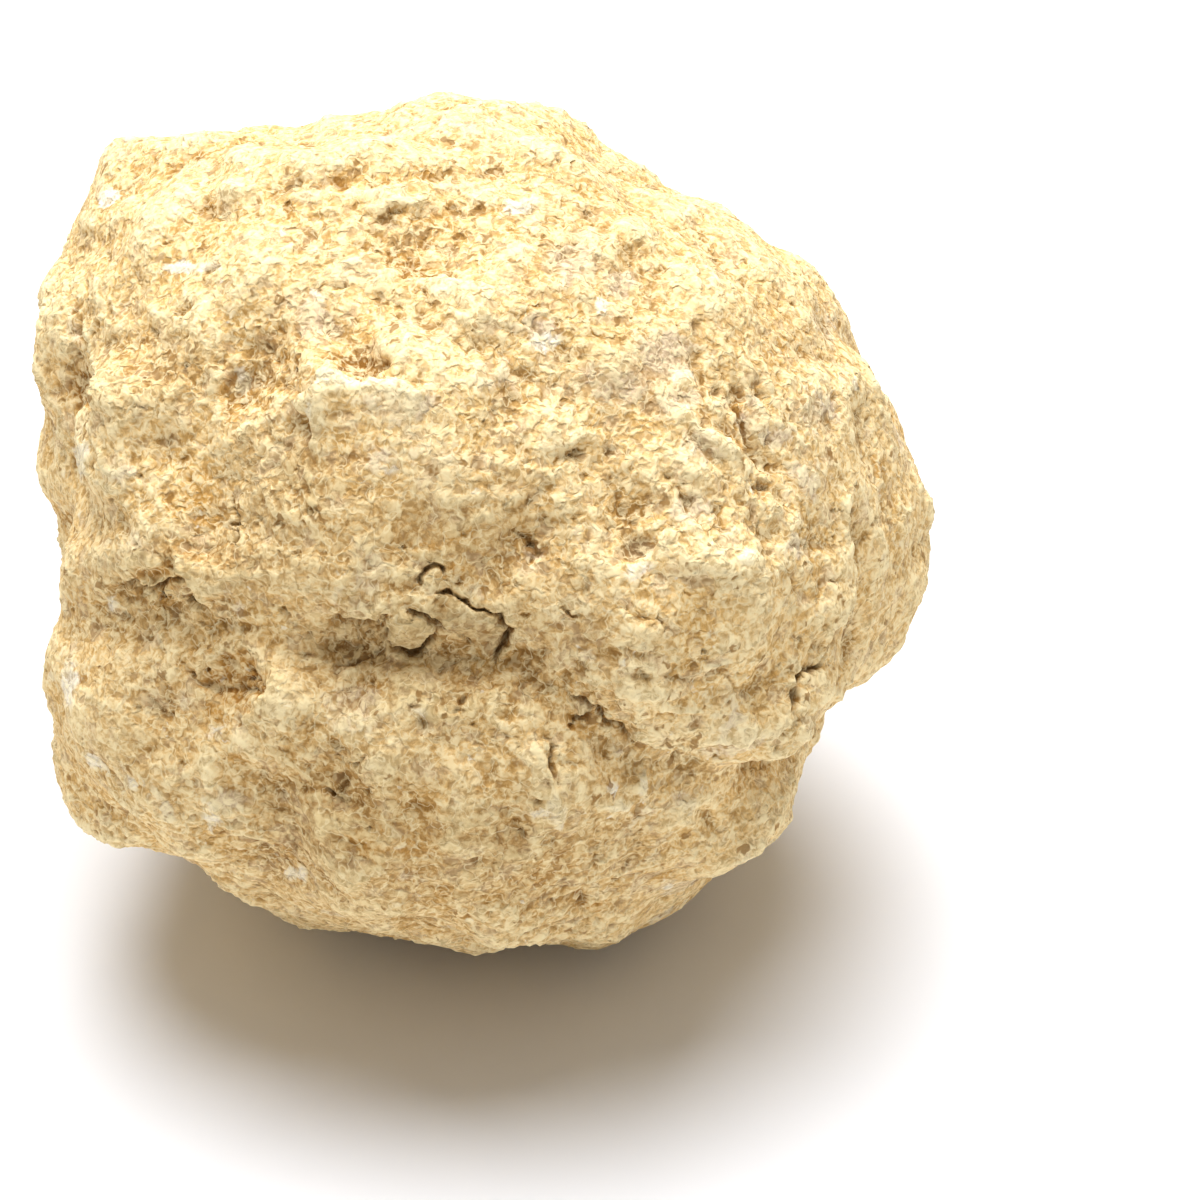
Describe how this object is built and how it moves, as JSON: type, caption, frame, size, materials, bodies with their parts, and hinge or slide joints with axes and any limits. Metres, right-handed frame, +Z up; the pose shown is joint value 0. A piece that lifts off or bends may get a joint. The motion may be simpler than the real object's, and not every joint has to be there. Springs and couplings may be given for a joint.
{
  "type": "geode",
  "caption": "Whole, unopened geode nodule: a lumpy, crumbly cream stone with a crease round its waist, resting on a small worn flat.",
  "frame": {"origin": "under the middle of the stone's bounding box, on the plane it rests on", "axes": "+Z up; -Y is the side that the stone's face looks towards, with its knob at the upper left; +X is to the right of that face"},
  "size_m": [0.058, 0.0608, 0.0565],
  "materials": {
    "stone": "dry, matt and crumbly: cream to pale yellow, ochre in the hollows and creases, a little grey-mauve, with fine white crystal flecks"
  },
  "bodies": {
    "root": {"geode": "stone"}
  },
  "joints": []
}
